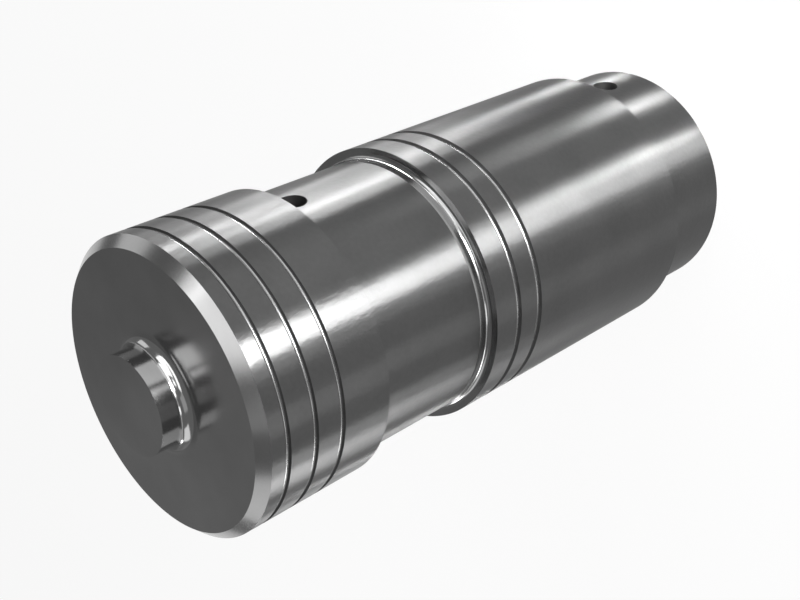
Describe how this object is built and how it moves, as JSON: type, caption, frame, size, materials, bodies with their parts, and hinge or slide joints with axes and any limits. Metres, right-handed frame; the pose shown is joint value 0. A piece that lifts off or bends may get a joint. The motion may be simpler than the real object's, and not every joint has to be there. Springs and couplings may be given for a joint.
{
  "type": "selector piston",
  "caption": "Turned steel piston with two grooved lands, a plain neck, an end boss and oil drillings, for a hydraulic selector valve.",
  "frame": {"origin": "centre of the tail's end face, which the piston stands on", "axes": "+Z along the piston's axis, from the tail to the boss; the two side drillings face +X"},
  "size_m": [0.04, 0.04, 0.0997],
  "materials": {
    "ground_steel": "turned and ground, polished lands"
  },
  "bodies": {
    "root": {"selector_piston": "ground_steel"}
  },
  "joints": []
}
